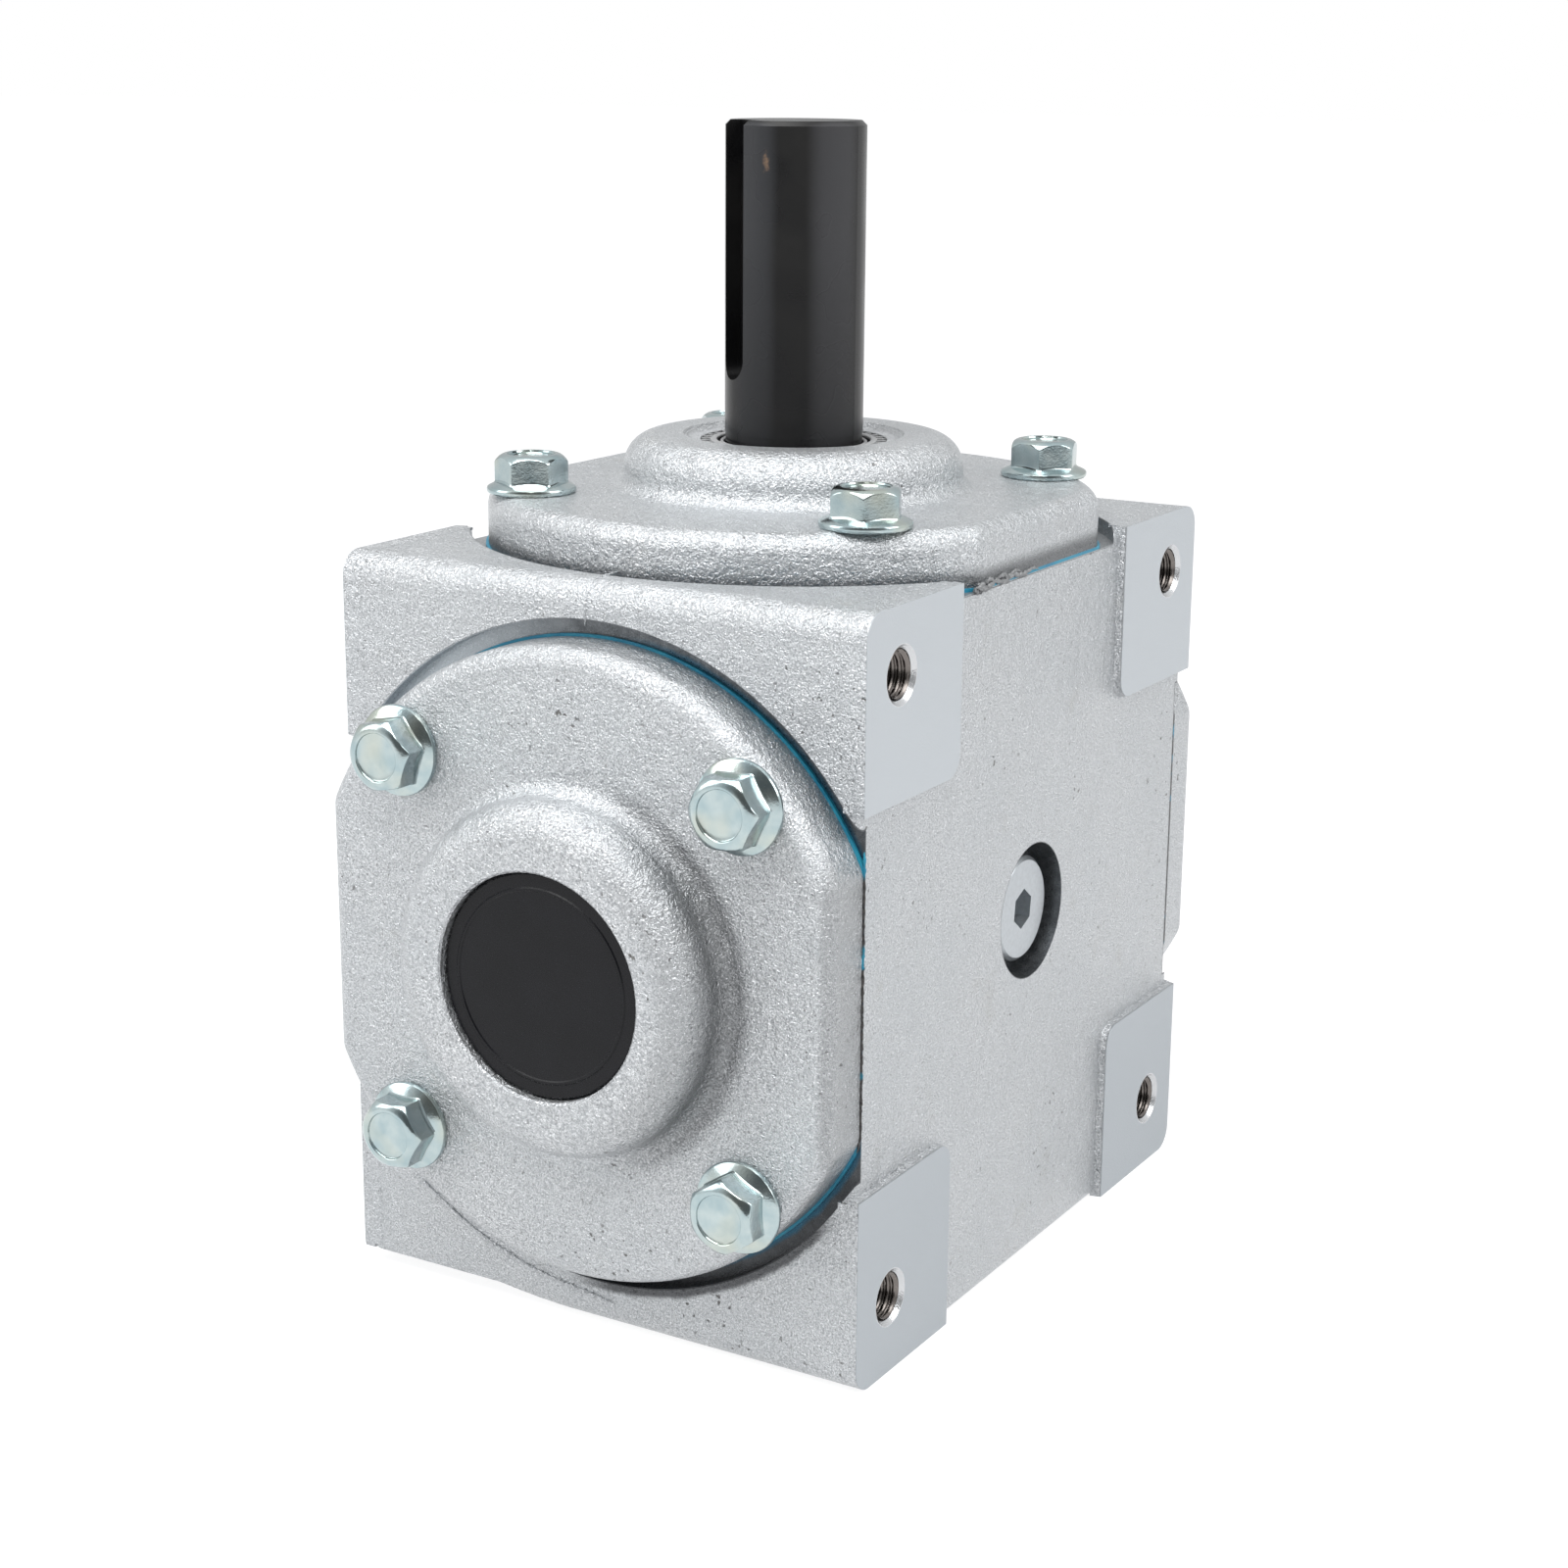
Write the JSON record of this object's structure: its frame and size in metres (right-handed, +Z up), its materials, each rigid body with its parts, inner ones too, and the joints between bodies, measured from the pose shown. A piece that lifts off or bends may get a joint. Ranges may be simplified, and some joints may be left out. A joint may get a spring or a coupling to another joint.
{
  "type": "right angle gearbox",
  "caption": "Cast cube-shaped bevel gearbox with two keyed shafts at right angles, bolted bearing covers, and threaded mounting pads on both sides",
  "frame": {"origin": "on the machined land of the underside, straight below the input shaft", "axes": "+Z up along the input shaft, +Y along the output shaft towards its free end, X through the mounting sides"},
  "size_m": [0.145, 0.307, 0.286],
  "materials": {
    "cast_paint": "silver paint on a rough casting",
    "gasket": "smooth blue sheet",
    "zinc_steel": "bright zinc with a blue tint",
    "black_rubber": "satin black",
    "plug_steel": "satin",
    "soft_metal": "plain",
    "black_steel": "black oxide, half gloss",
    "gear_steel": "cut and hardened",
    "spring_steel": "dark spring steel",
    "bearing_steel": "ground"
  },
  "bodies": {
    "casing": {"housing": "cast_paint", "top_cover": "cast_paint", "front_cover": "cast_paint", "rear_cover": "cast_paint", "top_gasket": "gasket", "front_gasket": "gasket", "rear_gasket": "gasket", "top_cover_bolts": "zinc_steel", "front_cover_bolts": "zinc_steel", "rear_cover_bolts": "zinc_steel", "front_end_cap": "black_rubber", "input_shaft_seal": "black_rubber", "output_shaft_seal": "black_rubber", "oil_plug_right": "plug_steel", "oil_plug_left": "plug_steel", "plug_washer_right": "soft_metal", "plug_washer_left": "soft_metal", "carrier_retaining_ring": "spring_steel", "input_outer_bearing_cup": "bearing_steel", "input_inner_bearing_cup": "bearing_steel", "output_front_bearing_cup": "bearing_steel", "output_rear_bearing_cup": "bearing_steel"},
    "input_rotor": {"input_shaft": "black_steel", "input_pinion": "gear_steel", "pinion_key": "gear_steel", "pinion_spacer": "gear_steel", "pinion_retaining_ring": "spring_steel", "input_bearing_retaining_ring": "spring_steel", "input_outer_bearing_cone": "bearing_steel", "input_inner_bearing_cone": "bearing_steel"},
    "output_rotor": {"output_shaft": "black_steel", "output_gear": "gear_steel", "gear_key": "gear_steel", "gear_spacer": "gear_steel", "output_front_bearing_cone": "bearing_steel", "output_rear_bearing_cone": "bearing_steel"},
    "input_outer_rollers": {"input_outer_bearing_cage": "bearing_steel", "input_outer_bearing_rollers": "bearing_steel"},
    "input_inner_rollers": {"input_inner_bearing_cage": "bearing_steel", "input_inner_bearing_rollers": "bearing_steel"},
    "output_front_rollers": {"output_front_bearing_cage": "bearing_steel", "output_front_bearing_rollers": "bearing_steel"},
    "output_rear_rollers": {"output_rear_bearing_cage": "bearing_steel", "output_rear_bearing_rollers": "bearing_steel"}
  },
  "joints": [
    {"name": "output_spin", "type": "hinge", "parent": "casing", "child": "output_rotor", "pos_m": [0, 0, 0.094], "axis": [0, 1, 0], "continuous": true},
    {"name": "input_spin", "type": "hinge", "parent": "casing", "child": "input_rotor", "pos_m": [0, 0, 0.094], "axis": [0, 0, 1], "continuous": true},
    {"name": "input_outer_roller_orbit", "type": "hinge", "parent": "casing", "child": "input_outer_rollers", "pos_m": [0, 0, 0.094], "axis": [0, 0, 1], "continuous": true},
    {"name": "input_inner_roller_orbit", "type": "hinge", "parent": "casing", "child": "input_inner_rollers", "pos_m": [0, 0, 0.094], "axis": [0, 0, 1], "continuous": true},
    {"name": "output_front_roller_orbit", "type": "hinge", "parent": "casing", "child": "output_front_rollers", "pos_m": [0, 0, 0.094], "axis": [0, 1, 0], "continuous": true},
    {"name": "output_rear_roller_orbit", "type": "hinge", "parent": "casing", "child": "output_rear_rollers", "pos_m": [0, 0, 0.094], "axis": [0, 1, 0], "continuous": true}
  ],
  "couplings": [
    {"joint": "input_spin", "follows": "output_spin", "ratio": -1},
    {"joint": "input_outer_roller_orbit", "follows": "output_spin", "ratio": -0.433},
    {"joint": "input_inner_roller_orbit", "follows": "output_spin", "ratio": -0.433},
    {"joint": "output_front_roller_orbit", "follows": "output_spin", "ratio": 0.433},
    {"joint": "output_rear_roller_orbit", "follows": "output_spin", "ratio": 0.433}
  ]
}
